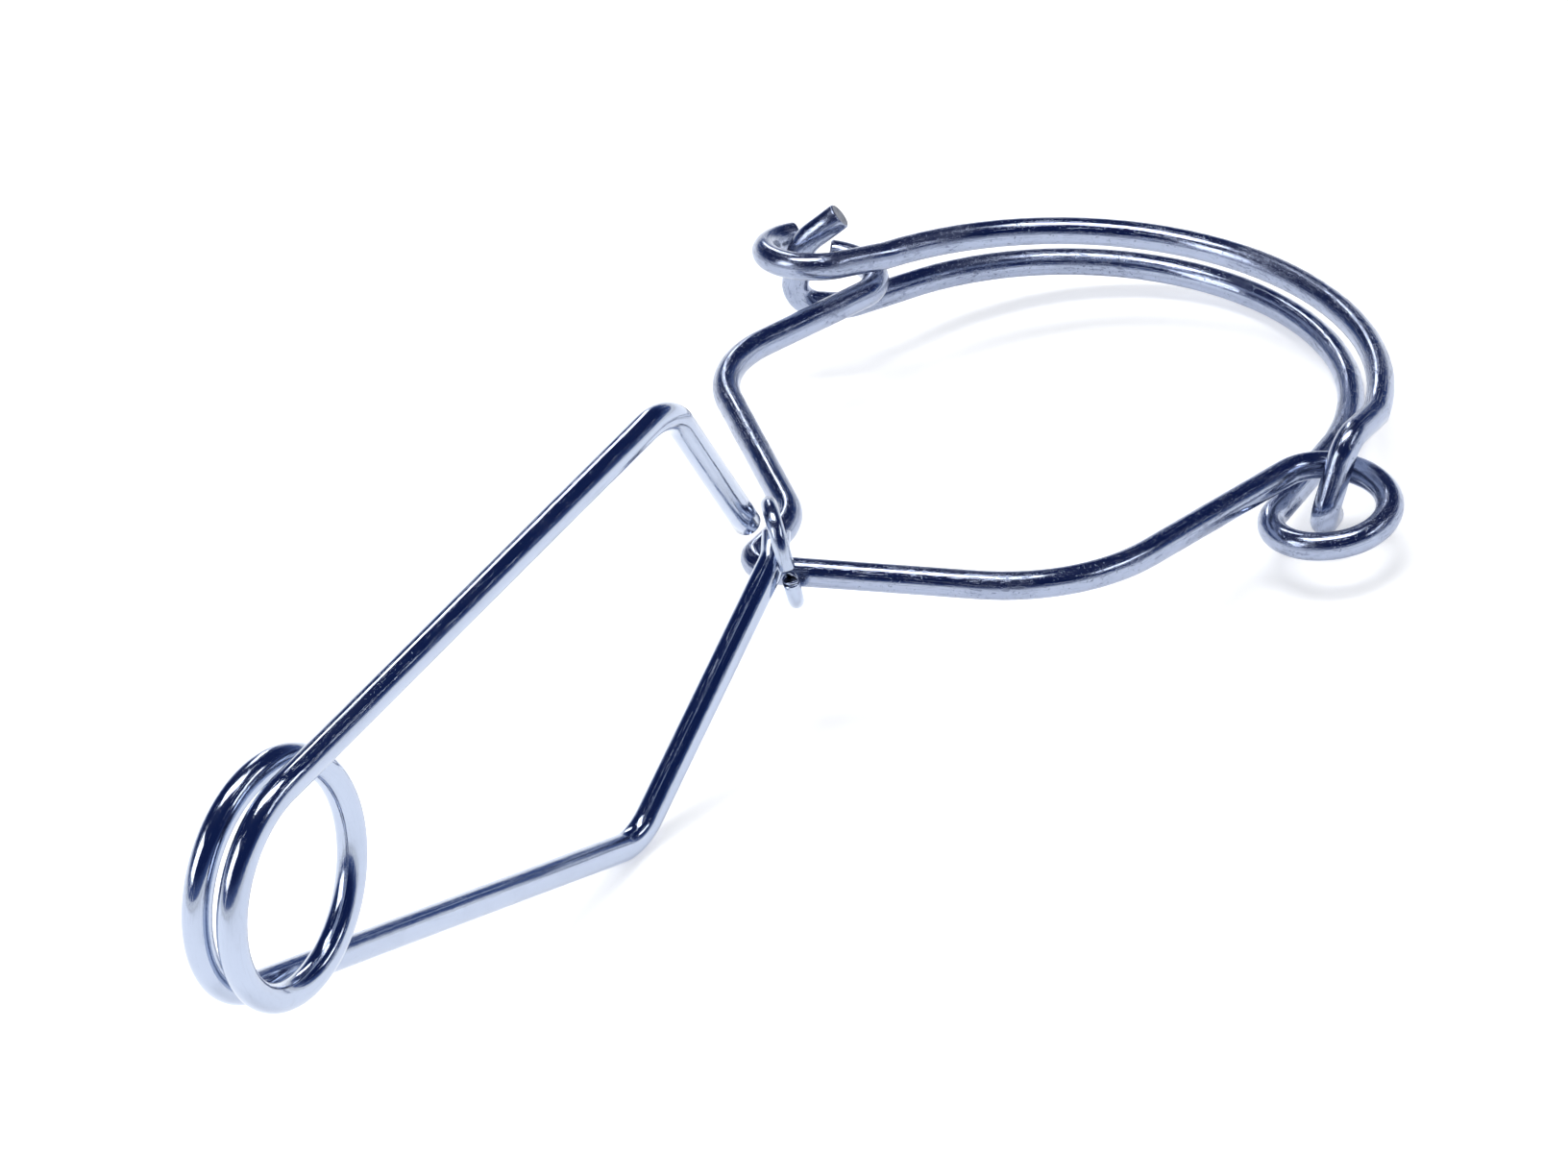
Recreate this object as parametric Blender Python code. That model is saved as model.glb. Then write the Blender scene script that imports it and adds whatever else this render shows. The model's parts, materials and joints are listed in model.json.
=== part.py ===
# Sprung wire clip joined by a small link to a wire hoop, which a hinged bow closes over.
# Lengths are in metres, angles in degrees. The clip is drawn in the XZ plane with its coil at -X and
# the crossing of its arms at the origin. The hoop and the bow are drawn in the hoop's own plane.
# restPose then lays the whole part on the table: on the lower arm's bend and the hoop's far arc.

import bpy
import math
import numpy as np
from mathutils import Matrix, Vector

# ---- wire stock -------------------------------------------------------------------------------
wire_radius = 0.0020          # clip, hoop and bow
link_wire_radius = 0.00115
node_gap = 0.0003             # air left where one length of wire stops against another
wire_sides = 12
link_sides = 10
arc_step = 15.0               # turn from one ring of vertices to the next in a bend

# ---- clip -------------------------------------------------------------------------------------
coil_radius = 0.0155          # centre line
coil_pitch = 0.0054
coil_distance = 0.1188        # coil centre to where the arms cross
lead_out_length = 0.0040      # straight wire that belongs to the coil at each end
upper_bend = (-0.0293, 0.0320)
lower_bend = (-0.0313, -0.0339)
bend_radius = 0.0070
bend_offset = 0.0040          # sideways place of the bends
crossing_offset = 0.0022      # sideways place of the arms where they pass each other
upper_tip_length = -0.0044    # upper arm past the crossing
peg_start = -0.0025           # where the lower arm turns into its end peg, past the crossing
peg = Vector((0.00151, 0.00047, 0.00345))
peg_bend_radius = 0.0045

# ---- link -------------------------------------------------------------------------------------
link_centre = Vector((0.00034, -0.00185, -0.00192))
link_long_axis = Vector((-0.137, 0.153, 0.979))
link_across_axis = Vector((-0.782, -0.623, -0.012))
link_half_length = 0.0071     # centre line
link_half_width = 0.00521      # centre line
link_cut = 0.0017             # gap left where the ring is closed
link_cut_place = -0.0010      # from the middle of the ring's front side

# ---- hoop: along the clip, across it, and up from the plane of the shoulders --------------------
hoop_origin = Vector((0.00128, -0.00140, -0.00519))
hoop_pitch = -4.0
hoop_roll = 5.1
hoop_yaw = 0.9
under_drop = 0.0052           # the far arc lies this far below the shoulders
apex = (-0.00220, 0.00571)
apex_radius = 0.0034
throat = (0.0130, 0.0060)
throat_radius = 0.0114
left_bend = (0.0453, 0.0386)
left_bend_radius = 0.0183
right_bend = (0.0151, -0.0385)
right_bend_radius = 0.0269
hook_centre = (0.0765, 0.0371)
hook_radius = 0.0067
hook_start = -100.5
hook_end = 30.0
hook_rise = 0.0010
arc_centre = (0.0721, -0.0055)
arc_radius = 0.0404
arc_left = 66.0
arc_right = -81.5
eye_centre = (0.05675, -0.0556)
eye_radius = 0.0083
eye_start = 90.0
eye_turn = 347.0
post_turn = (0.0791, 0.0360)
post_foot = (0.0761, 0.0432)
post_elbow = Vector((0.0758, 0.0415, 0.0052))
post_tip = Vector((0.0788, 0.0366, 0.0098))
post_turn_radius = 0.0060
post_foot_radius = 0.0034
post_elbow_radius = 0.0060

# ---- bow, in the hoop's frame -----------------------------------------------------------------
bow_level = 0.0045
bow_centre = (0.0597, -0.0109)
bow_radius = 0.0453
bow_left = 63.7
bow_right = -73.0
bow_eye_centre = (0.0762, 0.0394)
bow_eye_radius = 0.0072
bow_eye_start = 246.0
bow_eye_end = 53.5
bow_eye_tilt = 0.0011         # rise of the eye from its middle to its near side
bow_eye_tilt_angle = 30.4     # plan angle of the eye's low side
bow_knee = Vector((0.0628, -0.0549, 0.0054))
bow_knee_radius = 0.0045
bow_leg_foot = Vector((0.0570, -0.0541, -0.0058))
bow_foot_radius = 0.0028
bow_hook_end = Vector((0.0644, -0.0517, -0.0083))
hinge_angle = 14.0            # plan angle, round the right eye, of the wire that the bow turns on

# ---- finishes: colour and roughness -------------------------------------------------------------
bright_wire = ((0.62, 0.64, 0.68), 0.16)
worn_wire = ((0.50, 0.52, 0.56), 0.28)
link_wire = ((0.66, 0.68, 0.72), 0.20)

# ---- end of dimensions --------------------------------------------------------------------------


# ---- bends and arcs -----------------------------------------------------------------------------


def planArc(centre, radius, start, end, heightAt):
    """Points round an arc in plan; heightAt gives the height at each share of the turn."""
    count = max(2, math.ceil(abs(end - start) / arc_step))
    points = []
    for i in range(count + 1):
        angle = math.radians(start + (end - start) * i / count)
        points.append(Vector((centre[0] + radius * math.cos(angle),
                              centre[1] + radius * math.sin(angle),
                              heightAt(i / count))))
    return points


def bentCorner(before, corner, after, radius):
    """The arc that rounds one corner, from tangent point to tangent point."""
    back = (before - corner).normalized()
    ahead = (after - corner).normalized()
    half = back.angle(ahead) / 2
    centre = corner + (back + ahead).normalized() * (radius / math.sin(half))
    start = corner + back * (radius / math.tan(half)) - centre
    turn = math.pi - 2 * half
    axis = start.cross(corner - centre)
    count = max(2, math.ceil(math.degrees(turn) / arc_step))
    return [centre + Matrix.Rotation(turn * i / count, 3, axis) @ start for i in range(count + 1)]


def bentWire(corners, radii):
    """Straight runs from corner to corner, each inner corner bent to its radius."""
    path = [corners[0].copy()]
    for i, radius in enumerate(radii, start=1):
        path += bentCorner(corners[i - 1], corners[i], corners[i + 1], radius)
    path.append(corners[-1].copy())
    return path


def halfTurn(centre, first, middle):
    """Half an ellipse from centre + first, by centre + middle, to centre - first."""
    count = math.ceil(180 / arc_step)
    angles = [math.pi * i / count for i in range(count + 1)]
    return [centre + first * math.cos(angle) + middle * math.sin(angle) for angle in angles]


def at(place, height=0.0):
    """A plan position at a height over the plane of the hoop's shoulders."""
    return Vector((place[0], place[1], height))


# ---- clip ---------------------------------------------------------------------------------------


def armSlope(bend, side):
    """Angle of the arm that leaves the coil as a tangent and reaches its bend."""
    along = bend[0] + coil_distance
    reach = math.hypot(along, bend[1])
    return math.atan2(bend[1], along) - side * math.asin(coil_radius / reach)


def coilPath():
    """The coil, from the upper arm's tangent point round to the lower arm's."""
    start = 0.5 * math.pi + armSlope(upper_bend, 1)
    end = 3.5 * math.pi + armSlope(lower_bend, -1)
    width = coil_pitch * (end - start) / (2 * math.pi)
    count = math.ceil(math.degrees(end - start) / arc_step)
    points = []
    for i in range(count + 1):
        angle = start + (end - start) * i / count
        points.append(Vector((coil_radius * math.cos(angle) - coil_distance,
                              width * (i / count - 0.5),
                              coil_radius * math.sin(angle))))
    return points


def armCorners(side):
    """Coil end, bend and crossing of the upper arm (side 1) or the lower arm (side -1)."""
    coil = coilPath()
    root = coil[0] if side > 0 else coil[-1]
    bend = upper_bend if side > 0 else lower_bend
    return [root,
            Vector((bend[0], -side * bend_offset, bend[1])),
            Vector((0, side * crossing_offset, 0))]


def armStart(corners, beyond):
    """A point on the first straight run, beyond its start."""
    return corners[0] + (corners[1] - corners[0]).normalized() * beyond


def wholeCoil():
    """The coil with its two straight lead-outs."""
    upper_end = armStart(armCorners(1), lead_out_length)
    lower_end = armStart(armCorners(-1), lead_out_length)
    return [upper_end] + coilPath() + [lower_end]


def upperArm():
    root, bend, crossing = armCorners(1)
    start = armStart([root, bend], lead_out_length + node_gap)
    tip = crossing + (crossing - bend).normalized() * upper_tip_length
    return bentWire([start, bend, tip], [bend_radius])


def lowerArm():
    root, bend, crossing = armCorners(-1)
    start = armStart([root, bend], lead_out_length + node_gap)
    knee = crossing + (crossing - bend).normalized() * peg_start
    return bentWire([start, bend, knee, knee + peg], [bend_radius, peg_bend_radius])


# ---- link ---------------------------------------------------------------------------------------


def linkRing():
    """A long ring with round ends, cut open on its front side."""
    long_axis = link_long_axis.normalized()
    across = (link_across_axis - link_across_axis.project(long_axis)).normalized()
    straight = long_axis * (link_half_length - link_half_width)
    cut = link_centre + across * link_half_width + long_axis * link_cut_place
    path = [cut + long_axis * link_cut / 2]
    for side in (1, -1):
        path += halfTurn(link_centre + straight * side,
                         across * link_half_width * side,
                         long_axis * link_half_width * side)
    path.append(cut - long_axis * link_cut / 2)
    return path


# ---- hoop ---------------------------------------------------------------------------------------


def hoopTurn():
    return (Matrix.Rotation(math.radians(hoop_pitch), 3, 'Y')
            @ Matrix.Rotation(math.radians(hoop_roll), 3, 'X')
            @ Matrix.Rotation(math.radians(hoop_yaw), 3, 'Z'))


def fromHoopFrame(points):
    turn = hoopTurn()
    return [turn @ point + hoop_origin for point in points]


def eyeHeight(share):
    """The right eye climbs from the far arc to the shoulder along half a cosine wave."""
    return -under_drop * (1 + math.cos(math.pi * share)) / 2


def farArc():
    return planArc(arc_centre, arc_radius, arc_left, arc_right, lambda share: -under_drop)


def post(arc_start):
    """The far arc's left end: out under the shoulder, up, and leaning over to its cut tip."""
    corners = [post_tip, post_elbow, at(post_foot, -under_drop), at(post_turn, -under_drop), arc_start]
    return bentWire(corners, [post_elbow_radius, post_foot_radius, post_turn_radius])


def rightEye():
    return planArc(eye_centre, eye_radius, eye_start, eye_start + eye_turn, eyeHeight)


def leftHook():
    return planArc(hook_centre, hook_radius, hook_start, hook_end, lambda share: hook_rise * share ** 2)


def hoop():
    """One length of wire: post, far arc, right eye, right shoulder, V, left shoulder, hook."""
    arc = farArc()
    eye = rightEye()
    hook = leftHook()
    corners = [eye[-1], at(right_bend), at(apex), at(throat), at(left_bend), hook[0]]
    shoulders = bentWire(corners, [right_bend_radius, apex_radius, throat_radius, left_bend_radius])
    return post(arc[0])[:-1] + arc + eye + shoulders[1:-1] + hook


# ---- bow ----------------------------------------------------------------------------------------


def bowEyeHeight(share):
    angle = math.radians(bow_eye_end + (bow_eye_start - bow_eye_end) * share - bow_eye_tilt_angle)
    return bow_level - bow_eye_tilt * math.cos(angle)


def bow():
    """One length of wire: open eye over the post, long arc, and the hook on the right eye."""
    eye = planArc(bow_eye_centre, bow_eye_radius, bow_eye_end, bow_eye_start, bowEyeHeight)
    arc = planArc(bow_centre, bow_radius, bow_left, bow_right, lambda share: bow_level)
    hook = bentWire([arc[-1], bow_knee, bow_leg_foot, bow_hook_end], [bow_knee_radius, bow_foot_radius])
    return eye + arc + hook[1:]


def bowHinge():
    """Centre and direction of the right eye's wire where the bow turns on it."""
    share = (360 + hinge_angle - eye_start) / eye_turn
    angle = math.radians(hinge_angle)
    rise = under_drop * math.pi * math.sin(math.pi * share) / 2 / (math.radians(eye_turn) * eye_radius)
    centre = at((eye_centre[0] + eye_radius * math.cos(angle), eye_centre[1] + eye_radius * math.sin(angle)),
                eyeHeight(share))
    along = Vector((math.sin(angle), -math.cos(angle), -rise))
    return centre, along.normalized()


# ---- joints and the mount -----------------------------------------------------------------------


def springJoint():
    """The upper arm opens about the coil's middle; a positive turn lifts it."""
    return Vector((-coil_distance, 0, 0)), Vector((0, -1, 0))


def linkJoint():
    """The link turns on the lower arm's end peg."""
    root, bend, crossing = armCorners(-1)
    knee = crossing + (crossing - bend).normalized() * peg_start
    along = peg.normalized()
    return knee + along * (link_centre - knee).dot(along), along


def hoopJoint():
    """The hoop turns about its own wire where its V hangs on the link."""
    bend = bentCorner(at(right_bend), at(apex), at(throat), apex_radius)
    middle = len(bend) // 2
    centre, after, before = fromHoopFrame([bend[middle], bend[middle + 1], bend[middle - 1]])
    return centre, (before - after).normalized()


def bowJoint():
    centre, along = bowHinge()
    return fromHoopFrame([centre])[0], hoopTurn() @ along


def postEnd():
    """The cut face at the post's tip, where a cap or a stop would sit."""
    tip, elbow = fromHoopFrame([post_tip, post_elbow])
    return tip, (tip - elbow).normalized()


# ---- solids -------------------------------------------------------------------------------------


def clearScene():
    for item in list(bpy.data.objects):
        bpy.data.objects.remove(item, do_unlink=True)


def plating(name, finish):
    colour, roughness = finish
    material = bpy.data.materials.new(name)
    material.use_nodes = True
    shader = material.node_tree.nodes['Principled BSDF']
    shader.inputs['Base Color'].default_value = (*colour, 1.0)
    shader.inputs['Metallic'].default_value = 1.0
    shader.inputs['Roughness'].default_value = roughness
    return material


def wireObject(name, path, radius, sides, material, origin, parent):
    """A round wire along the path, its cut ends closed, with its origin on its joint's axis."""
    curve = bpy.data.curves.new(name, 'CURVE')
    curve.dimensions = '3D'
    curve.bevel_depth = radius
    curve.bevel_resolution = (sides - 4) // 2
    curve.use_fill_caps = True
    curve.twist_mode = 'MINIMUM'
    spline = curve.splines.new('POLY')
    spline.points.add(len(path) - 1)
    for point, place in zip(spline.points, path):
        point.co = (*(place - origin), 1.0)
    spline.use_smooth = True
    curve.materials.append(material)
    wire = bpy.data.objects.new(name, curve)
    bpy.context.collection.objects.link(wire)
    wire.parent = parent
    wire.matrix_parent_inverse = Matrix.Translation(-placeInClip(parent))
    wire.location = origin
    return wire


def placeInClip(item):
    """Where a parent's origin lies in the clip's frame; the empty's lies at the crossing."""
    return item.location if item.type == 'CURVE' else Vector((0, 0, 0))


def leastSelfGap(path, radius):
    """The smallest air between stretches of one wire that are half a turn or more apart along it."""
    points = np.array([tuple(point) for point in path])
    steps = np.linalg.norm(np.diff(points, axis=0), axis=1)
    along = np.concatenate(([0.0], np.cumsum(steps)))
    apart = np.linalg.norm(points[:, None] - points[None], axis=2)
    other_stretch = np.abs(along[:, None] - along[None]) > math.pi * coil_radius
    return apart[other_stretch].min() - 2 * radius


# ---- rest pose ----------------------------------------------------------------------------------


def lowest(turn, path):
    return min((turn @ point).z for point in path)


def restTilt():
    """The tilt at which the clip's lower bend and the hoop's far arc are level."""
    clip = wholeCoil() + upperArm() + lowerArm()
    ring = fromHoopFrame(hoop())
    low = 0.0
    high = 45.0
    for step in range(40):
        tilt = (low + high) / 2
        turn = Matrix.Rotation(math.radians(tilt), 3, 'Y')
        if lowest(turn, clip) < lowest(turn, ring):
            low = tilt
        else:
            high = tilt
    return tilt


def corners():
    """The lowest and the highest corner of everything built, as the world sees it."""
    bpy.context.view_layer.update()
    graph = bpy.context.evaluated_depsgraph_get()
    places = []
    for item in bpy.data.objects:
        if item.type == 'CURVE':
            shape = item.evaluated_get(graph)
            mesh = shape.to_mesh()
            places += [item.matrix_world @ vertex.co for vertex in mesh.vertices]
            shape.to_mesh_clear()
    points = np.array([tuple(place) for place in places])
    return Vector(points.min(axis=0)), Vector(points.max(axis=0))


def restPose(rest):
    """Tilts the part, sets it on the table and centres it over the origin."""
    rest.rotation_euler = (0, math.radians(restTilt()), 0)
    low, high = corners()
    middle = (low + high) / 2
    rest.location = (-middle.x, -middle.y, -low.z)
    bpy.context.view_layer.update()


def printPlace(name, line, rest):
    """A joint's axis or a mount's face, as the world sees it."""
    centre, along = line
    place = rest.matrix_world @ centre
    direction = rest.matrix_world.to_3x3() @ along
    print(name, 'at', [round(value, 6) for value in place], 'along', [round(value, 5) for value in direction])


# ---- the whole part -----------------------------------------------------------------------------


def buildPart():
    clearScene()
    rest = bpy.data.objects.new('rest_pose', None)
    bpy.context.collection.objects.link(rest)
    steel = plating('bright_wire', bright_wire)
    worn_steel = plating('worn_wire', worn_wire)
    link_steel = plating('link_wire', link_wire)
    spring = springJoint()
    link = linkJoint()
    hoop_swing = hoopJoint()
    bow_turn = bowJoint()

    wire = (wire_radius, wire_sides)
    lower = wireObject('clip_lower_arm', lowerArm(), *wire, steel, spring[0], rest)
    wireObject('clip_coil', wholeCoil(), *wire, steel, spring[0], lower)
    wireObject('clip_upper_arm', upperArm(), *wire, steel, spring[0], lower)
    ring = wireObject('link', linkRing(), link_wire_radius, link_sides, link_steel, link[0], lower)
    frame = wireObject('hoop', fromHoopFrame(hoop()), *wire, worn_steel, hoop_swing[0], ring)
    wireObject('bow', fromHoopFrame(bow()), *wire, worn_steel, bow_turn[0], frame)
    restPose(rest)

    print('least gap of the coil to itself', round(leastSelfGap(wholeCoil(), wire_radius), 6))
    printPlace('clip_spring', spring, rest)
    printPlace('link_swing', link, rest)
    printPlace('hoop_swing', hoop_swing, rest)
    printPlace('bow_hinge', bow_turn, rest)
    printPlace('post_end', postEnd(), rest)


buildPart()
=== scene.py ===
# A plated wire clip, its link, and the hoop and bow that hang on it, dressed for a studio picture.
# Lengths are in metres and angles in degrees. Every wire is drawn again along the CAD model's own
# centre lines, with finer bends, trimmed ends and a finish that shows how the wire was used.
import bpy
import json
import math
from mathutils import Matrix, Vector


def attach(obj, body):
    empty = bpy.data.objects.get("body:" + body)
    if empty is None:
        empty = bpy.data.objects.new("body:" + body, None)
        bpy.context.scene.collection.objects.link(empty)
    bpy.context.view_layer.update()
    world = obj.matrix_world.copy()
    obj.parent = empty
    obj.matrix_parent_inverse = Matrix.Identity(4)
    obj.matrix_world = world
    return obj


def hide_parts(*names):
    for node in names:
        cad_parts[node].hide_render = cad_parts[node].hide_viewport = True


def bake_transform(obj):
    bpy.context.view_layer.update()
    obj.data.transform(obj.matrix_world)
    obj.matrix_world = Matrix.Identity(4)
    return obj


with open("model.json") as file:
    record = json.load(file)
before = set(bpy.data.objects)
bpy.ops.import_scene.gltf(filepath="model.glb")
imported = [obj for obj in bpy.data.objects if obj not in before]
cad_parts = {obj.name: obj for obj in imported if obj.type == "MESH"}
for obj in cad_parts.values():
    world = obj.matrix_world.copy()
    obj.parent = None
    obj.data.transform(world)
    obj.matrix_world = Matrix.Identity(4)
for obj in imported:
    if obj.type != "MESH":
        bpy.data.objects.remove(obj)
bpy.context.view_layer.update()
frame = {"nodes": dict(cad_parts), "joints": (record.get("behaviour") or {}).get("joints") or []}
print("frame loaded:", ", ".join(sorted(frame["nodes"])))

wireStock = {
    "radius": 0.0020,
    "linkRadius": 0.00115,
    "sides": 36,              # round the wire
    "arcStep": 4.0,           # turn from ring to ring in a bend
    "straightStep": 0.004,
    "chamfer": 0.00025,       # trimmed edge of a cut end
    "waviness": 0.004,        # share of the radius by which drawn wire swells
}


# bends and arcs that every wire is made from
def planArc(centre, radius, start, end, heightAt):
    count = max(2, math.ceil(abs(end - start) / wireStock["arcStep"]))
    points = []
    for i in range(count + 1):
        angle = math.radians(start + (end - start) * i / count)
        points.append(Vector((centre[0] + radius * math.cos(angle),
                              centre[1] + radius * math.sin(angle),
                              heightAt(i / count))))
    return points


def bentCorner(before, corner, after, radius):
    back = (before - corner).normalized()
    ahead = (after - corner).normalized()
    half = back.angle(ahead) / 2
    centre = corner + (back + ahead).normalized() * (radius / math.sin(half))
    start = corner + back * (radius / math.tan(half)) - centre
    turn = math.pi - 2 * half
    axis = start.cross(corner - centre)
    count = max(3, math.ceil(math.degrees(turn) / wireStock["arcStep"]))
    return [centre + Matrix.Rotation(turn * i / count, 3, axis) @ start for i in range(count + 1)]


def bentWire(corners, radii):
    path = [corners[0].copy()]
    for i, radius in enumerate(radii, start=1):
        path += bentCorner(corners[i - 1], corners[i], corners[i + 1], radius)
    path.append(corners[-1].copy())
    return path


def halfTurn(centre, first, middle):
    count = math.ceil(180 / wireStock["arcStep"])
    angles = [math.pi * i / count for i in range(count + 1)]
    return [centre + first * math.cos(angle) + middle * math.sin(angle) for angle in angles]


def at(place, height=0.0):
    return Vector((place[0], place[1], height))


# the clip: two arms and the coil between them, one length of wire in reality
clip = {
    "coilRadius": 0.0155,
    "coilPitch": 0.0054,
    "coilDistance": 0.1188,   # coil centre to where the arms cross
    "leadOut": 0.0040,        # straight wire kept with the coil
    "upperBend": (-0.0293, 0.0320),
    "lowerBend": (-0.0313, -0.0339),
    "upperBendRadius": 0.0110,
    "lowerBendRadius": 0.0075,
    "bendOffset": 0.0040,
    "crossingOffset": 0.0022,
    "upperTip": -0.0044,
    "pegStart": -0.0025,
    "peg": Vector((0.00151, 0.00047, 0.00345)),
    "pegBendRadius": 0.0045,
}


def armSlope(bend, side):
    along = bend[0] + clip["coilDistance"]
    reach = math.hypot(along, bend[1])
    return math.atan2(bend[1], along) - side * math.asin(clip["coilRadius"] / reach)


def coilPath():
    start = 0.5 * math.pi + armSlope(clip["upperBend"], 1)
    end = 3.5 * math.pi + armSlope(clip["lowerBend"], -1)
    width = clip["coilPitch"] * (end - start) / (2 * math.pi)
    count = math.ceil(math.degrees(end - start) / wireStock["arcStep"])
    points = []
    for i in range(count + 1):
        angle = start + (end - start) * i / count
        points.append(Vector((clip["coilRadius"] * math.cos(angle) - clip["coilDistance"],
                              width * (i / count - 0.5),
                              clip["coilRadius"] * math.sin(angle))))
    return points


def armCorners(side):
    coil = coilPath()
    root = coil[0] if side > 0 else coil[-1]
    bend = clip["upperBend"] if side > 0 else clip["lowerBend"]
    return [root,
            Vector((bend[0], -side * clip["bendOffset"], bend[1])),
            Vector((0, side * clip["crossingOffset"], 0))]


def armStart(corners, beyond):
    return corners[0] + (corners[1] - corners[0]).normalized() * beyond


def wholeCoil():
    return ([armStart(armCorners(1), clip["leadOut"])] + coilPath()
            + [armStart(armCorners(-1), clip["leadOut"])])


def upperArm():
    root, bend, crossing = armCorners(1)
    start = armStart([root, bend], clip["leadOut"])
    tip = crossing + (crossing - bend).normalized() * clip["upperTip"]
    return bentWire([start, bend, tip], [clip["upperBendRadius"]])


def lowerArm():
    root, bend, crossing = armCorners(-1)
    start = armStart([root, bend], clip["leadOut"])
    knee = crossing + (crossing - bend).normalized() * clip["pegStart"]
    return bentWire([start, bend, knee, knee + clip["peg"]], [clip["lowerBendRadius"], clip["pegBendRadius"]])


# the link: a small ring with long sides, cut open at the front
link = {
    "centre": Vector((0.00034, -0.00185, -0.00192)),
    "longAxis": Vector((-0.137, 0.153, 0.979)),
    "acrossAxis": Vector((-0.782, -0.623, -0.012)),
    "halfLength": 0.0071,
    "halfWidth": 0.00521,
    "cut": 0.0017,
    "cutPlace": -0.0010,
}


def linkRing():
    longAxis = link["longAxis"].normalized()
    across = (link["acrossAxis"] - link["acrossAxis"].project(longAxis)).normalized()
    straight = longAxis * (link["halfLength"] - link["halfWidth"])
    cut = link["centre"] + across * link["halfWidth"] + longAxis * link["cutPlace"]
    path = [cut + longAxis * link["cut"] / 2]
    for side in (1, -1):
        path += halfTurn(link["centre"] + straight * side,
                         across * link["halfWidth"] * side,
                         longAxis * link["halfWidth"] * side)
    path.append(cut - longAxis * link["cut"] / 2)
    return path


# the hoop: post, far arc, right eye, shoulders with their V, and the hook on the left
hoop = {
    "origin": Vector((0.00128, -0.00140, -0.00519)),
    "pitch": -4.0, "roll": 5.1, "yaw": 0.9,
    "underDrop": 0.0052,      # the far arc lies this far below the shoulders
    "apex": (-0.00220, 0.00571), "apexRadius": 0.0034,
    "throat": (0.0130, 0.0060), "throatRadius": 0.0114,
    "leftBend": (0.0453, 0.0386), "leftBendRadius": 0.0183,
    "rightBend": (0.0151, -0.0385), "rightBendRadius": 0.0269,
    "hookCentre": (0.0765, 0.0371), "hookRadius": 0.0067,
    "hookStart": -100.5, "hookEnd": 30.0, "hookRise": 0.0010,
    "arcCentre": (0.0721, -0.0055), "arcRadius": 0.0404, "arcLeft": 66.0, "arcRight": -81.5,
    "eyeCentre": (0.05675, -0.0556), "eyeRadius": 0.0083, "eyeStart": 90.0, "eyeTurn": 347.0,
    "postTurn": (0.0791, 0.0360), "postTurnRadius": 0.0060,
    "postFoot": (0.0761, 0.0432), "postFootRadius": 0.0034,
    "postElbow": Vector((0.0758, 0.0415, 0.0052)), "postElbowRadius": 0.0060,
    "postTip": Vector((0.0788, 0.0366, 0.0098)),
}


def fromHoopFrame(points):
    turn = (Matrix.Rotation(math.radians(hoop["pitch"]), 3, "Y")
            @ Matrix.Rotation(math.radians(hoop["roll"]), 3, "X")
            @ Matrix.Rotation(math.radians(hoop["yaw"]), 3, "Z"))
    return [turn @ point + hoop["origin"] for point in points]


def hoopPath():
    under = -hoop["underDrop"]
    arc = planArc(hoop["arcCentre"], hoop["arcRadius"], hoop["arcLeft"], hoop["arcRight"], lambda share: under)
    eye = planArc(hoop["eyeCentre"], hoop["eyeRadius"], hoop["eyeStart"], hoop["eyeStart"] + hoop["eyeTurn"],
                  lambda share: under * (1 + math.cos(math.pi * share)) / 2)
    hook = planArc(hoop["hookCentre"], hoop["hookRadius"], hoop["hookStart"], hoop["hookEnd"],
                   lambda share: hoop["hookRise"] * share ** 2)
    postCorners = [hoop["postTip"], hoop["postElbow"], at(hoop["postFoot"], under), at(hoop["postTurn"], under), arc[0]]
    post = bentWire(postCorners,
                    [hoop["postElbowRadius"], hoop["postFootRadius"], hoop["postTurnRadius"]])
    corners = [eye[-1], at(hoop["rightBend"]), at(hoop["apex"]), at(hoop["throat"]), at(hoop["leftBend"]), hook[0]]
    shoulders = bentWire(corners, [hoop["rightBendRadius"], hoop["apexRadius"], hoop["throatRadius"],
                                   hoop["leftBendRadius"]])
    return fromHoopFrame(post[:-1] + arc + eye + shoulders[1:-1] + hook)


# the bow: open eye, long arc, and the hook on the right eye
bow = {
    "level": 0.0045,
    "centre": (0.0597, -0.0109), "radius": 0.0453, "left": 63.7, "right": -73.0,
    "eyeCentre": (0.0762, 0.0394), "eyeRadius": 0.0072, "eyeStart": 246.0, "eyeEnd": 53.5,
    "eyeTilt": 0.0011, "eyeTiltAngle": 30.4,
    "knee": Vector((0.0628, -0.0549, 0.0054)), "kneeRadius": 0.0045,
    "legFoot": Vector((0.0570, -0.0541, -0.0058)), "footRadius": 0.0028,
    "hookEnd": Vector((0.0644, -0.0517, -0.0083)),
}


def bowEyeHeight(share):
    angle = math.radians(bow["eyeEnd"] + (bow["eyeStart"] - bow["eyeEnd"]) * share - bow["eyeTiltAngle"])
    return bow["level"] - bow["eyeTilt"] * math.cos(angle)


def bowPath():
    eye = planArc(bow["eyeCentre"], bow["eyeRadius"], bow["eyeEnd"], bow["eyeStart"], bowEyeHeight)
    arc = planArc(bow["centre"], bow["radius"], bow["left"], bow["right"], lambda share: bow["level"])
    hook = bentWire([arc[-1], bow["knee"], bow["legFoot"], bow["hookEnd"]], [bow["kneeRadius"], bow["footRadius"]])
    return fromHoopFrame(eye + arc + hook[1:])


# how the part lies on the table
def lowest(turn, path):
    return min((turn @ point).z for point in path)


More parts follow.
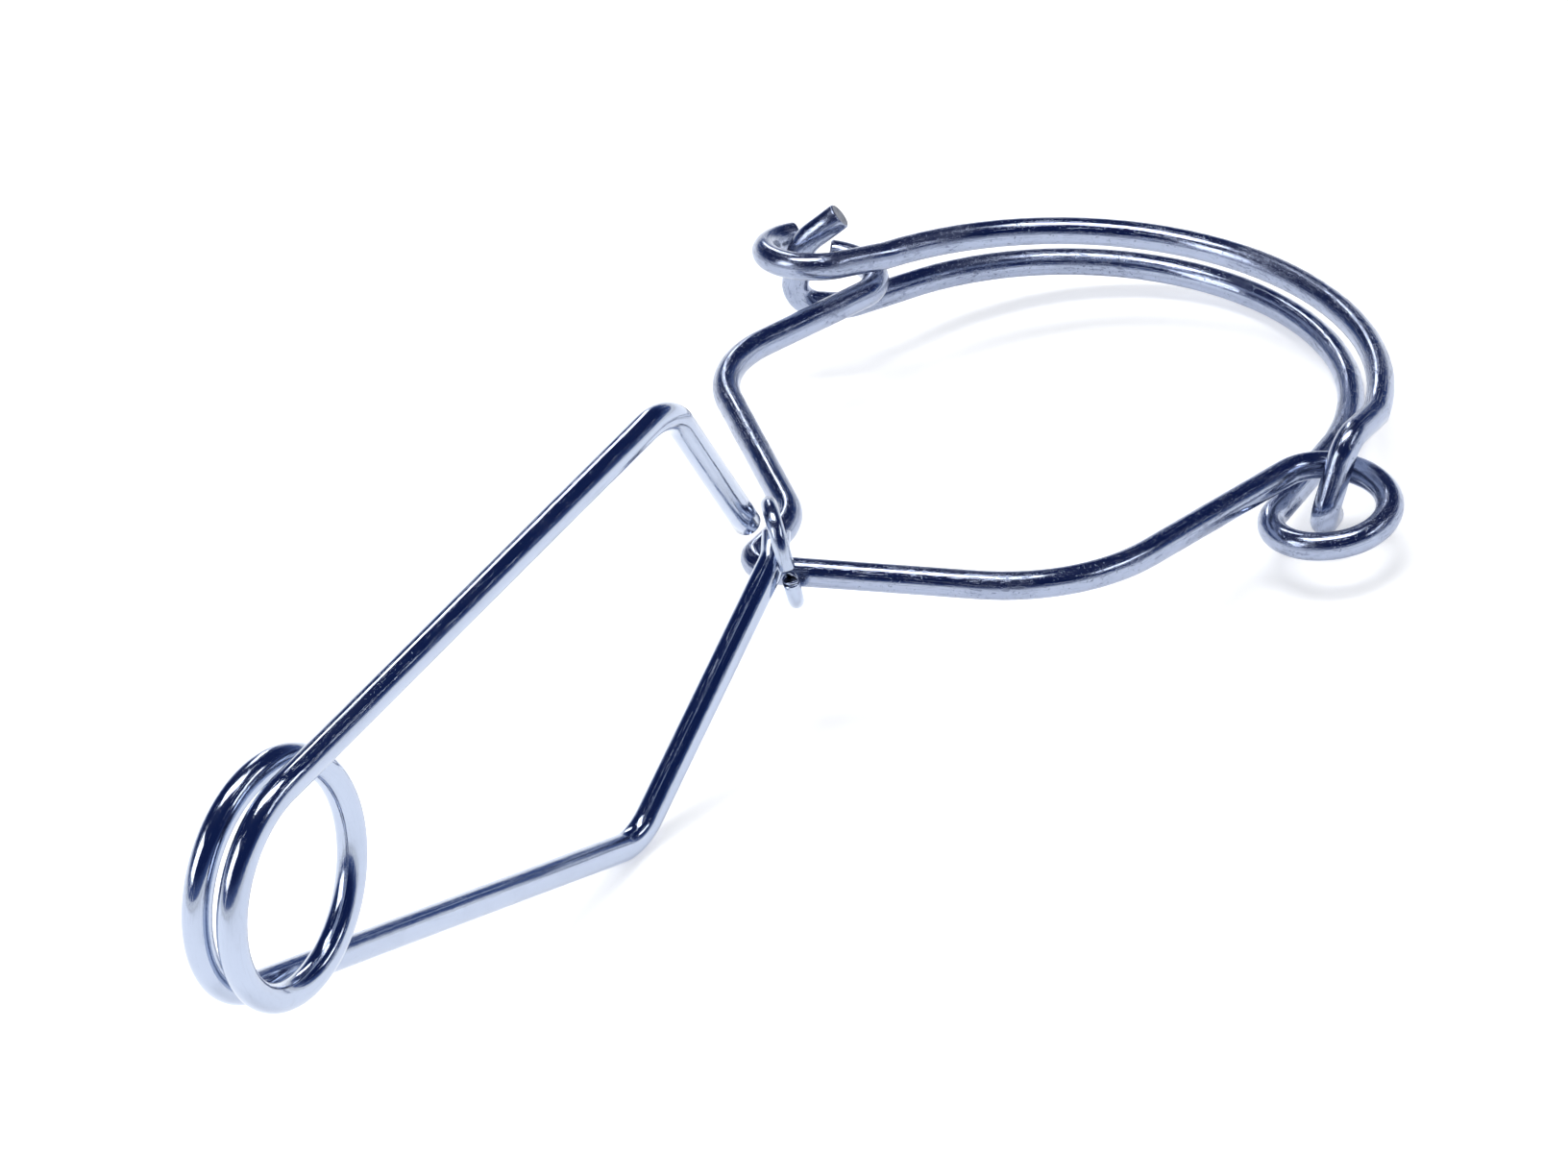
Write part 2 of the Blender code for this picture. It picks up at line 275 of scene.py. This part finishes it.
def restMatrix():
    clipWires = wholeCoil() + upperArm() + lowerArm()
    ring = hoopPath()
    low, high = 0.0, 45.0
    for step in range(40):
        tilt = (low + high) / 2
        turn = Matrix.Rotation(math.radians(tilt), 3, "Y")
        if lowest(turn, clipWires) < lowest(turn, ring):
            low = tilt
        else:
            high = tilt
    turn = Matrix.Rotation(math.radians(tilt), 3, "Y")
    pivot = Vector(next(joint for joint in frame["joints"] if joint["name"] == "clip_spring")["pos_m"])
    return Matrix.Translation(pivot - turn @ Vector((-clip["coilDistance"], 0, 0))) @ turn.to_4x4()


rest = restMatrix()


def onTable(path):
    return [rest @ point for point in path]


# long straight runs get rings too, and repeated points go
def evenSteps(path):
    points = [path[0]]
    for point in path[1:]:
        gap = (point - points[-1]).length
        if gap < 1e-5:
            continue
        start = points[-1].copy()
        count = max(1, math.ceil(gap / wireStock["straightStep"]))
        points += [start.lerp(point, i / count) for i in range(1, count + 1)]
    return points


# the last bit of each end is turned down a little, as snips and a file leave it
def trimmedEnds(points, radius, cutEnds):
    chamfer = wireStock["chamfer"]
    places, shares = list(points), [1.0] * len(points)
    for end, isCut in zip((0, -1), cutEnds):
        if isCut:
            inward = (places[1 if end == 0 else -2] - places[end]).normalized()
            collar = [places[end] + inward * chamfer * 0.35, places[end] + inward * chamfer]
            narrow = [1 - 0.35 * chamfer / radius, 1.0]
            shares[end] = 1 - chamfer / radius
            if end == 0:
                places[1:1], shares[1:1] = collar, narrow
            else:
                places[-1:-1], shares[-1:-1] = collar[::-1], narrow[::-1]
    return places, shares


# the wire itself is a node tree that follows a path
def socketOf(tree, name):
    return next(item.identifier for item in tree.interface.items_tree
                if item.name == name and item.in_out == "INPUT")


def drawnWireTree():
    tree = bpy.data.node_groups.new("drawn wire", "GeometryNodeTree")
    face = tree.interface
    face.new_socket("Path", in_out="INPUT", socket_type="NodeSocketGeometry")
    face.new_socket("Wire Radius", in_out="INPUT", socket_type="NodeSocketFloat")
    face.new_socket("Sides", in_out="INPUT", socket_type="NodeSocketInt")
    face.new_socket("Waviness", in_out="INPUT", socket_type="NodeSocketFloat")
    face.new_socket("Wire Finish", in_out="INPUT", socket_type="NodeSocketMaterial")
    face.new_socket("Cut Finish", in_out="INPUT", socket_type="NodeSocketMaterial")
    face.new_socket("Wire", in_out="OUTPUT", socket_type="NodeSocketGeometry")
    nodes, links = tree.nodes, tree.links
    new = nodes.new
    given, made = new("NodeGroupInput"), new("NodeGroupOutput")

    length = new("GeometryNodeSplineParameter")
    keepLength = new("GeometryNodeStoreNamedAttribute")
    keepLength.inputs["Name"].default_value = "alongWire"
    links.new(given.outputs["Path"], keepLength.inputs["Geometry"])
    links.new(length.outputs["Length"], keepLength.inputs["Value"])

    # drawn wire is never perfectly even: a slow change in thickness, a fraction of a percent
    wave = new("ShaderNodeTexNoise")
    wave.noise_dimensions = "1D"
    wave.inputs["Scale"].default_value = 90.0
    wave.inputs["Detail"].default_value = 1.0
    links.new(length.outputs["Length"], wave.inputs["W"])
    spread = new("ShaderNodeMath")
    spread.operation = "MULTIPLY_ADD"
    links.new(wave.outputs[0], spread.inputs[0])
    links.new(given.outputs["Waviness"], spread.inputs[1])
    spread.inputs[2].default_value = 1.0
    radius = new("GeometryNodeInputRadius")
    scale = new("ShaderNodeMath")
    scale.operation = "MULTIPLY"
    links.new(radius.outputs["Radius"], scale.inputs[0])
    links.new(spread.outputs["Value"], scale.inputs[1])

    ring = new("GeometryNodeCurvePrimitiveCircle")
    links.new(given.outputs["Sides"], ring.inputs["Resolution"])
    links.new(given.outputs["Wire Radius"], ring.inputs["Radius"])
    turn = new("GeometryNodeSplineParameter")
    keepTurn = new("GeometryNodeStoreNamedAttribute")
    keepTurn.inputs["Name"].default_value = "roundWire"
    links.new(ring.outputs["Curve"], keepTurn.inputs["Geometry"])
    links.new(turn.outputs["Factor"], keepTurn.inputs["Value"])

    sweep = new("GeometryNodeCurveToMesh")
    links.new(keepLength.outputs["Geometry"], sweep.inputs["Curve"])
    links.new(keepTurn.outputs["Geometry"], sweep.inputs["Profile Curve"])
    links.new(scale.outputs["Value"], sweep.inputs["Scale"])
    sweep.inputs["Fill Caps"].default_value = True

    corners = new("GeometryNodeInputMeshFaceNeighbors")
    isCut = new("FunctionNodeCompare")
    isCut.data_type = "INT"
    isCut.operation = "GREATER_THAN"
    isCut.inputs[3].default_value = 6          # side faces have four corners, an end cap one for each side
    links.new(corners.outputs["Vertex Count"], isCut.inputs[2])
    smooth = new("GeometryNodeSetShadeSmooth")
    links.new(sweep.outputs["Mesh"], smooth.inputs["Geometry"])
    flat = new("GeometryNodeSetShadeSmooth")
    flat.inputs["Shade Smooth"].default_value = False
    links.new(smooth.outputs["Geometry"], flat.inputs["Geometry"])
    links.new(isCut.outputs["Result"], flat.inputs["Selection"])
    real = new("GeometryNodeRealizeInstances")
    links.new(flat.outputs["Geometry"], real.inputs["Geometry"])
    wireFinish = new("GeometryNodeSetMaterial")
    links.new(real.outputs["Geometry"], wireFinish.inputs["Geometry"])
    links.new(given.outputs["Wire Finish"], wireFinish.inputs["Material"])
    cutFinish = new("GeometryNodeSetMaterial")
    links.new(wireFinish.outputs["Geometry"], cutFinish.inputs["Geometry"])
    links.new(given.outputs["Cut Finish"], cutFinish.inputs["Material"])
    links.new(isCut.outputs["Result"], cutFinish.inputs["Selection"])
    links.new(cutFinish.outputs["Geometry"], made.inputs["Wire"])
    return tree


# finishes of the plated wire
finish = {
    "bright": {"colour": (0.47, 0.53, 0.66), "dull": (0.20, 0.24, 0.34), "roughness": 0.10,
               "scratches": 0.40, "pits": 0.08, "flecks": 0.15, "patches": 0.35},
    "worn": {"colour": (0.37, 0.42, 0.55), "dull": (0.10, 0.12, 0.20), "roughness": 0.14,
             "scratches": 0.80, "pits": 0.70, "flecks": 0.90, "patches": 0.80},
    "link": {"colour": (0.46, 0.52, 0.65), "dull": (0.18, 0.22, 0.32), "roughness": 0.11,
             "scratches": 0.50, "pits": 0.30, "flecks": 0.40, "patches": 0.45},
    "cut": {"colour": (0.16, 0.18, 0.24), "dull": (0.05, 0.06, 0.09), "roughness": 0.38},
}


def mathNode(tree, operation, first, second, third=None):
    node = tree.nodes.new("ShaderNodeMath")
    node.operation = operation
    for socket, value in zip(node.inputs, (first, second, third)):
        if isinstance(value, bpy.types.NodeSocket):
            tree.links.new(value, socket)
        elif value is not None:
            socket.default_value = value
    return node.outputs["Value"]


def noiseNode(tree, vector, scale, detail, roughness=0.5):
    node = tree.nodes.new("ShaderNodeTexNoise")
    node.inputs["Scale"].default_value = scale
    node.inputs["Detail"].default_value = detail
    node.inputs["Roughness"].default_value = roughness
    tree.links.new(vector, node.inputs["Vector"])
    return node.outputs[0]


def bandNode(tree, value, low, high, outLow=0.0, outHigh=1.0):
    node = tree.nodes.new("ShaderNodeMapRange")
    node.interpolation_type = "SMOOTHSTEP"
    for name, number in (("From Min", low), ("From Max", high), ("To Min", outLow), ("To Max", outHigh)):
        node.inputs[name].default_value = number
    tree.links.new(value, node.inputs["Value"])
    return node.outputs["Result"]


wearMarks = {
    # waves a metre along the wire, waves round it, and the part of the noise that shows
    "scratch": {"along": 170.0, "round": 17.0, "detail": 4.0, "band": (0.56, 0.68)},
    "fleck": {"along": 700.0, "round": 5.0, "detail": 3.0, "band": (0.54, 0.66)},
    "pit": {"scale": 2600.0, "detail": 2.0, "band": (0.64, 0.72)},
    "patch": {"scale": 85.0, "detail": 4.0, "band": (0.44, 0.60)},
    "slowScale": 260.0,       # gentle unevenness of the plating
    "dulling": {"fleck": 0.45, "pit": 0.8, "scratch": 0.22, "patch": 0.16},
    "roughening": {"patch": 0.13, "fleck": 0.14, "scratch": 0.08},
    "height": {"fleck": -0.50, "pit": -0.8, "scratch": -0.30, "slow": 0.9},
    "bumpStrength": 0.55, "bumpDistance": 0.00006,
}


# marks of use on drawn and plated wire: scratches along it, flecks, small pits, and dull patches
def wireMarksGroup():
    tree = bpy.data.node_groups.new("wire marks", "ShaderNodeTree")
    face = tree.interface
    for name in ("Along", "Round", "Scratches", "Pits", "Flecks", "Patches", "Base Roughness"):
        face.new_socket(name, in_out="INPUT", socket_type="NodeSocketFloat")
    face.new_socket("Place", in_out="INPUT", socket_type="NodeSocketVector")
    for name in ("Dullness", "Roughness", "Height"):
        face.new_socket(name, in_out="OUTPUT", socket_type="NodeSocketFloat")
    given, made = tree.nodes.new("NodeGroupInput"), tree.nodes.new("NodeGroupOutput")
    links = tree.links

    angle = mathNode(tree, "MULTIPLY", given.outputs["Round"], 2 * math.pi)
    across = mathNode(tree, "COSINE", angle, 0)
    upright = mathNode(tree, "SINE", angle, 0)

    # the wire's skin laid out flat: so many waves a metre along it, and so many round it
    def unrolled(alongScale, roundScale):
        flat = tree.nodes.new("ShaderNodeCombineXYZ")
        links.new(mathNode(tree, "MULTIPLY", given.outputs["Along"], alongScale), flat.inputs["X"])
        links.new(mathNode(tree, "MULTIPLY", across, roundScale), flat.inputs["Y"])
        links.new(mathNode(tree, "MULTIPLY", upright, roundScale), flat.inputs["Z"])
        return flat.outputs["Vector"]

    def skinNoise(kind):
        mark = wearMarks[kind]
        noise = noiseNode(tree, unrolled(mark["along"], mark["round"]), 1.0, mark["detail"], 0.6)
        return bandNode(tree, noise, *mark["band"])

    place = given.outputs["Place"]
    scratch, fleck = skinNoise("scratch"), skinNoise("fleck")
    pitMark, patchMark = wearMarks["pit"], wearMarks["patch"]
    pit = bandNode(tree, noiseNode(tree, place, pitMark["scale"], pitMark["detail"]), *pitMark["band"])
    patch = bandNode(tree, noiseNode(tree, place, patchMark["scale"], patchMark["detail"], 0.6), *patchMark["band"])
    slow = noiseNode(tree, place, wearMarks["slowScale"], 2.0)

    scratchShare = mathNode(tree, "MULTIPLY", scratch, given.outputs["Scratches"])
    pitShare = mathNode(tree, "MULTIPLY", pit, given.outputs["Pits"])
    patchShare = mathNode(tree, "MULTIPLY", patch, given.outputs["Patches"])
    fleckShare = mathNode(tree, "MULTIPLY", mathNode(tree, "MULTIPLY", fleck, given.outputs["Flecks"]),
                          mathNode(tree, "MULTIPLY_ADD", patch, 0.75, 0.25))
    amount = wearMarks["dulling"]
    dull = mathNode(tree, "MULTIPLY_ADD", fleckShare, amount["fleck"],
                    mathNode(tree, "MULTIPLY", pitShare, amount["pit"]))
    dull = mathNode(tree, "MULTIPLY_ADD", scratchShare, amount["scratch"], dull)
    dull = mathNode(tree, "MULTIPLY_ADD", patchShare, amount["patch"], dull)
    links.new(mathNode(tree, "MINIMUM", dull, 1.0), made.inputs["Dullness"])

    amount = wearMarks["roughening"]
    rough = mathNode(tree, "MULTIPLY_ADD", patchShare, amount["patch"], given.outputs["Base Roughness"])
    rough = mathNode(tree, "MULTIPLY_ADD", fleckShare, amount["fleck"], rough)
    rough = mathNode(tree, "MULTIPLY_ADD", scratchShare, amount["scratch"], rough)
    links.new(rough, made.inputs["Roughness"])

    amount = wearMarks["height"]
    height = mathNode(tree, "MULTIPLY_ADD", fleckShare, amount["fleck"],
                      mathNode(tree, "MULTIPLY", pitShare, amount["pit"]))
    height = mathNode(tree, "MULTIPLY_ADD", scratchShare, amount["scratch"], height)
    height = mathNode(tree, "MULTIPLY_ADD", slow, amount["slow"], height)
    links.new(height, made.inputs["Height"])
    return tree


def attributeNode(tree, name):
    node = tree.nodes.new("ShaderNodeAttribute")
    node.attribute_name = name
    return node.outputs["Fac"]


def platedWire(name, look, marks):
    material = bpy.data.materials.new(name)
    material.use_nodes = True
    tree = material.node_tree
    links = tree.links
    shader = tree.nodes["Principled BSDF"]
    shader.inputs["Metallic"].default_value = 1.0
    group = tree.nodes.new("ShaderNodeGroup")
    group.node_tree = marks
    links.new(attributeNode(tree, "alongWire"), group.inputs["Along"])
    links.new(attributeNode(tree, "roundWire"), group.inputs["Round"])
    links.new(tree.nodes.new("ShaderNodeTexCoord").outputs["Object"], group.inputs["Place"])
    for socket, key in (("Scratches", "scratches"), ("Pits", "pits"), ("Flecks", "flecks"), ("Patches", "patches"),
                        ("Base Roughness", "roughness")):
        group.inputs[socket].default_value = look[key]
    colour = tree.nodes.new("ShaderNodeMix")
    colour.data_type = "RGBA"
    colour.inputs["A"].default_value = (*look["colour"], 1.0)
    colour.inputs["B"].default_value = (*look["dull"], 1.0)
    links.new(group.outputs["Dullness"], colour.inputs["Factor"])
    links.new(colour.outputs["Result"], shader.inputs["Base Color"])
    links.new(group.outputs["Roughness"], shader.inputs["Roughness"])
    bump = tree.nodes.new("ShaderNodeBump")
    bump.inputs["Strength"].default_value = wearMarks["bumpStrength"]
    bump.inputs["Distance"].default_value = wearMarks["bumpDistance"]
    links.new(group.outputs["Height"], bump.inputs["Height"])
    links.new(bump.outputs["Normal"], shader.inputs["Normal"])
    return material


# a snipped and filed end: bare steel with fine saw lines
def cutSteel(look):
    material = bpy.data.materials.new("cutSteel")
    material.use_nodes = True
    tree = material.node_tree
    links = tree.links
    shader = tree.nodes["Principled BSDF"]
    shader.inputs["Metallic"].default_value = 1.0
    shader.inputs["Roughness"].default_value = look["roughness"]
    place = tree.nodes.new("ShaderNodeTexCoord").outputs["Object"]
    stretch = tree.nodes.new("ShaderNodeMapping")
    stretch.inputs["Scale"].default_value = (900.0, 900.0, 9000.0)
    links.new(place, stretch.inputs["Vector"])
    lines = noiseNode(tree, stretch.outputs["Vector"], 1.0, 3.0)
    colour = tree.nodes.new("ShaderNodeMix")
    colour.data_type = "RGBA"
    colour.inputs["A"].default_value = (*look["dull"], 1.0)
    colour.inputs["B"].default_value = (*look["colour"], 1.0)
    links.new(bandNode(tree, lines, 0.35, 0.6), colour.inputs["Factor"])
    links.new(colour.outputs["Result"], shader.inputs["Base Color"])
    bump = tree.nodes.new("ShaderNodeBump")
    bump.inputs["Strength"].default_value = 0.6
    bump.inputs["Distance"].default_value = 0.0001
    links.new(lines, bump.inputs["Height"])
    links.new(bump.outputs["Normal"], shader.inputs["Normal"])
    return material


wireMarks = wireMarksGroup()
brightWire = platedWire("brightWire", finish["bright"], wireMarks)
wornWire = platedWire("wornWire", finish["worn"], wireMarks)
linkWire = platedWire("linkWire", finish["link"], wireMarks)
cutEnd = cutSteel(finish["cut"])
print("finishes made")


# making each wire
wireTree = drawnWireTree()


def makeWire(name, path, radius, material, cutEnds):
    places, shares = trimmedEnds(evenSteps(onTable(path)), radius, cutEnds)
    curve = bpy.data.curves.new(name + "Path", "CURVE")
    curve.dimensions = "3D"
    curve.twist_mode = "MINIMUM"
    spline = curve.splines.new("POLY")
    spline.points.add(len(places) - 1)
    for point, place, share in zip(spline.points, places, shares):
        point.co = (*place, 1.0)
        point.radius = share
    line = bpy.data.objects.new(name + "Path", curve)
    bpy.context.scene.collection.objects.link(line)
    sweep = line.modifiers.new("drawn wire", "NODES")
    sweep.node_group = wireTree
    for socket, value in (("Wire Radius", radius), ("Sides", wireStock["sides"]),
                          ("Waviness", wireStock["waviness"]), ("Wire Finish", material), ("Cut Finish", cutEnd)):
        sweep[socketOf(wireTree, socket)] = value
    graph = bpy.context.evaluated_depsgraph_get()
    mesh = bpy.data.meshes.new_from_object(line.evaluated_get(graph), depsgraph=graph)
    mesh.name = name
    bpy.data.objects.remove(line)
    wire = bpy.data.objects.new(name, mesh)
    bpy.context.scene.collection.objects.link(wire)
    return wire


# the coil stays where it is drawn: its placement is baked into the mesh, and it is attached to no body
def turnCoil(wire):
    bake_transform(wire)


def dressNode(name, node, body, path, radius, material, cutEnds=(True, True)):
    wire = makeWire(name, path, radius, material, cutEnds)
    if body == "spring":
        turnCoil(wire)
    else:
        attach(wire, body)
    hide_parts(node)
    print(name, "drawn,", len(wire.data.polygons), "faces")
    return wire


wide, thin = wireStock["radius"], wireStock["linkRadius"]
fromCoil, throughCoil = (False, True), (False, False)  # which ends are cut: the wire runs on from arm to coil
dressNode("lowerArmWire", "clip_lower_arm", "clip_lower", lowerArm(), wide, brightWire, fromCoil)
dressNode("coilWire", "clip_coil", "spring", wholeCoil(), wide, brightWire, throughCoil)
dressNode("upperArmWire", "clip_upper_arm", "clip_upper", upperArm(), wide, brightWire, fromCoil)
dressNode("linkRingWire", "link", "link", linkRing(), thin, linkWire)
dressNode("hoopWire", "hoop", "hoop", hoopPath(), wide, wornWire)
dressNode("bowWire", "bow", "bow", bowPath(), wide, wornWire)


# floor, light and camera
studio = {
    "floorColour": (0.93, 0.94, 0.96),
    "floorGlow": 0.40,        # added for the eye and for what metal mirrors, so that the floor ends white
    "domeRadius": 1.6,
    "domeLow": 7.0,           # degrees above the horizon where the dark cards begin
    "domeColour": (0.010, 0.022, 0.090),
    "domeHorizon": (0.10, 0.15, 0.32),
    "airLight": 0.40,         # the world's light on the object
    "airSeen": 0.60,          # added to it for rays that show the backdrop
    "lamps": (
        # name, place, size, power
        ("overhead", (0.15, 0.10, 1.15), (0.75, 0.34), 6.0),
        ("leftBox", (-0.80, 0.57, 0.67), (0.55, 0.62), 3.4),
        ("rightStrip", (0.45, -1.05, 0.80), (0.80, 0.14), 1.4),
        ("backStrip", (0.95, 0.75, 0.65), (0.16, 0.70), 1.6),
    ),
    "aim": Vector((0.0, 0.0, 0.02)),
}


# rays that show the backdrop, straight or in metal or glass
def seenRays(tree):
    rays = tree.nodes.new("ShaderNodeLightPath").outputs
    seen = mathNode(tree, "MAXIMUM", rays["Is Camera Ray"], rays["Is Glossy Ray"])
    return mathNode(tree, "MAXIMUM", seen, rays["Is Transmission Ray"])


def makeFloor():
    mesh = bpy.data.meshes.new("studioFloor")
    half = 4.0
    mesh.from_pydata([(-half, -half, 0), (half, -half, 0), (half, half, 0), (-half, half, 0)], [], [(0, 1, 2, 3)])
    floor = bpy.data.objects.new("studioFloor", mesh)
    bpy.context.scene.collection.objects.link(floor)
    material = bpy.data.materials.new("paleFloor")
    material.use_nodes = True
    tree = material.node_tree
    shader = tree.nodes["Principled BSDF"]
    shader.inputs["Base Color"].default_value = (*studio["floorColour"], 1.0)
    shader.inputs["Roughness"].default_value = 0.8
    shader.inputs["Specular IOR Level"].default_value = 0.1
    shader.inputs["Emission Color"].default_value = (1.0, 1.0, 1.0, 1.0)
    glow = mathNode(tree, "MULTIPLY", seenRays(tree), studio["floorGlow"])
    tree.links.new(glow, shader.inputs["Emission Strength"])
    mesh.materials.append(material)


# dark cards overhead, which only the metal sees: they give plated wire its deep blue side
def makeCards():
    rings, around = 12, 48
    low = math.radians(studio["domeLow"])
    verts, faces = [], []
    for i in range(rings + 1):
        up = low + (math.pi / 2 - low) * i / rings
        for j in range(around):
            turn = 2 * math.pi * j / around
            verts.append((studio["domeRadius"] * math.cos(up) * math.cos(turn),
                          studio["domeRadius"] * math.cos(up) * math.sin(turn),
                          studio["domeRadius"] * math.sin(up)))
    for i in range(rings):
        for j in range(around):
            k = (j + 1) % around
            faces.append((i * around + k, i * around + j, (i + 1) * around + j, (i + 1) * around + k))
    mesh = bpy.data.meshes.new("darkCards")
    mesh.from_pydata(verts, [], faces)
    cards = bpy.data.objects.new("darkCards", mesh)
    bpy.context.scene.collection.objects.link(cards)
    cards.visible_camera = False
    cards.visible_diffuse = False
    cards.visible_shadow = False
    cards.visible_transmission = False
    material = bpy.data.materials.new("darkCard")
    material.use_nodes = True
    tree = material.node_tree
    tree.nodes.remove(tree.nodes["Principled BSDF"])
    glow = tree.nodes.new("ShaderNodeEmission")
    place = tree.nodes.new("ShaderNodeTexCoord").outputs["Object"]
    split = tree.nodes.new("ShaderNodeSeparateXYZ")
    tree.links.new(place, split.inputs["Vector"])
    colour = tree.nodes.new("ShaderNodeMix")
    colour.data_type = "RGBA"
    colour.inputs["A"].default_value = (*studio["domeHorizon"], 1.0)
    colour.inputs["B"].default_value = (*studio["domeColour"], 1.0)
    tree.links.new(bandNode(tree, split.outputs["Z"], 0.18, 0.75), colour.inputs["Factor"])
    tree.links.new(colour.outputs["Result"], glow.inputs["Color"])
    tree.links.new(glow.outputs["Emission"], tree.nodes["Material Output"].inputs["Surface"])
    mesh.materials.append(material)


def makeLamp(name, place, size, power):
    lamp = bpy.data.lights.new(name, "AREA")
    lamp.shape = "RECTANGLE"
    lamp.size, lamp.size_y = size
    lamp.energy = power
    item = bpy.data.objects.new(name, lamp)
    bpy.context.scene.collection.objects.link(item)
    item.location = place
    item.rotation_euler = (studio["aim"] - Vector(place)).to_track_quat("-Z", "Y").to_euler()


def makeWorld():
    world = bpy.data.worlds.new("studioAir")
    bpy.context.scene.world = world
    world.use_nodes = True
    tree = world.node_tree
    back = tree.nodes["Background"]
    back.inputs["Color"].default_value = (1.0, 1.0, 1.0, 1.0)
    tree.links.new(mathNode(tree, "MULTIPLY_ADD", seenRays(tree), studio["airSeen"], studio["airLight"]),
                   back.inputs["Strength"])


# the camera was found in the clip's own frame, so it goes where the clip goes
view = {
    "place": Vector((-0.988943, -0.639448, 0.518076)),
    "right": Vector((0.523216, -0.850876, -0.047488)),
    "up": Vector((0.370322, 0.176821, 0.911919)),
    "lens": 213.97,
}


def makeCamera():
    camera = bpy.data.cameras.new("camera")
    camera.lens = view["lens"]
    camera.sensor_width = 36.0
    camera.clip_start, camera.clip_end = 0.05, 20.0
    item = bpy.data.objects.new("camera", camera)
    bpy.context.scene.collection.objects.link(item)
    back = view["right"].cross(view["up"])
    axes = Matrix((view["right"], view["up"], back)).transposed().to_4x4()
    item.matrix_world = rest @ Matrix.Translation(view["place"]) @ axes
    bpy.context.scene.camera = item


makeFloor()
makeCards()
for lamp in studio["lamps"]:
    makeLamp(*lamp)
makeWorld()
makeCamera()
bpy.context.scene.view_settings.view_transform = "Standard"
print("studio set")
